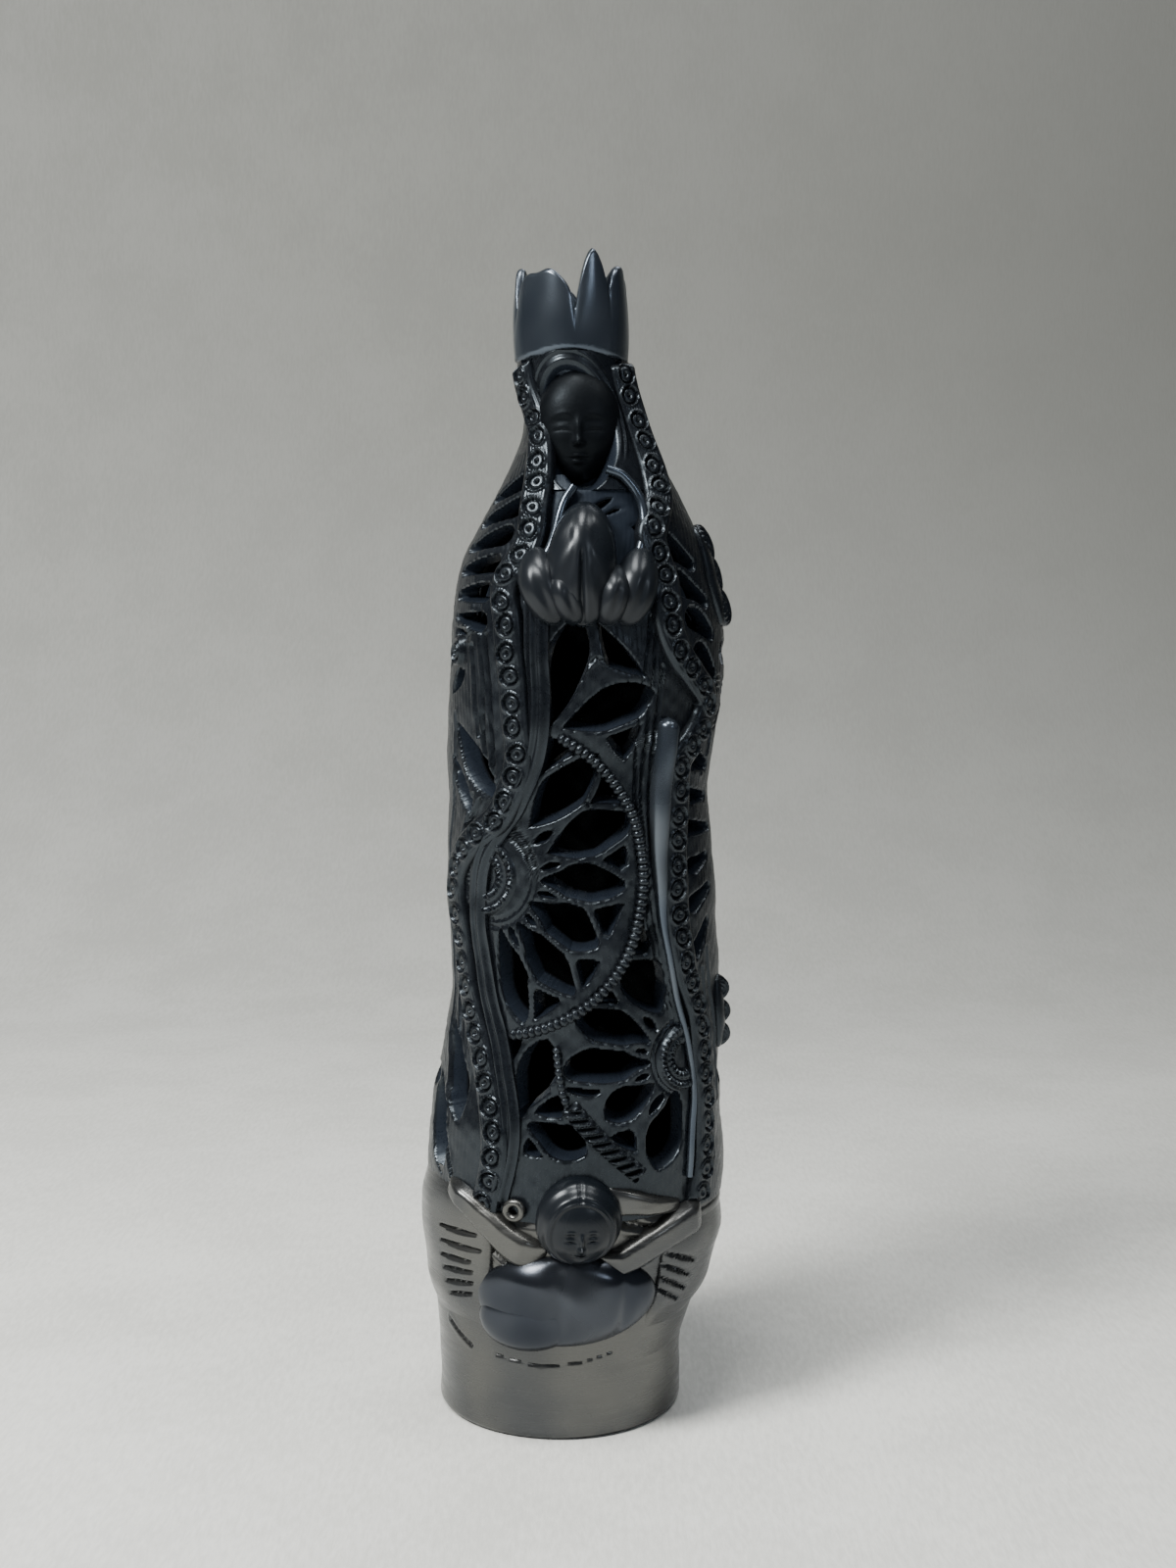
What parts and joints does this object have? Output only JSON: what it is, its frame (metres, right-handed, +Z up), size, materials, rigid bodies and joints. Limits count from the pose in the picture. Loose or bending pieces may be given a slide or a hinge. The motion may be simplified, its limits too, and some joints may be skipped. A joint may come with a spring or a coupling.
{
  "type": "pierced black clay figurine",
  "caption": "Hollow black clay figurine of a crowned, veiled woman on a round plinth, with pierced walls, ring-stamped mantle borders and a winged angel at the foot.",
  "frame": {"origin": "centre of the plinth's flat underside", "axes": "+Z up, the figure faces -Y, +X on the viewer's right"},
  "size_m": [0.0652, 0.0641, 0.24],
  "materials": {
    "burnished_clay": "stone-burnished graphite sheen",
    "carved_clay": "matte carved black"
  },
  "bodies": {
    "root": {"plinth": "burnished_clay", "foot_wall": "burnished_clay", "tunic_panel": "carved_clay", "mantle_left": "carved_clay", "mantle_right": "carved_clay", "mantle_back": "carved_clay", "border_left": "carved_clay", "border_right": "carved_clay", "fold_left": "carved_clay", "roll_right": "burnished_clay", "rope_upper": "carved_clay", "rope_lower": "carved_clay", "rosette_left": "carved_clay", "rosette_right": "carved_clay", "neckline": "carved_clay", "neck_cord": "burnished_clay", "hood": "carved_clay", "head": "carved_clay", "hair": "carved_clay", "crown": "burnished_clay", "hand_left": "burnished_clay", "hand_right": "burnished_clay", "cuff_left": "burnished_clay", "cuff_right": "burnished_clay", "angel_head": "carved_clay", "angel_curl": "burnished_clay", "angel_torso": "burnished_clay", "angel_arm_left": "burnished_clay", "angel_arm_right": "burnished_clay", "angel_wing_left": "burnished_clay", "angel_wing_right": "burnished_clay", "scroll_left": "carved_clay", "spray_upper": "carved_clay", "spray_lower": "carved_clay", "back_rosette": "carved_clay"}
  },
  "joints": []
}
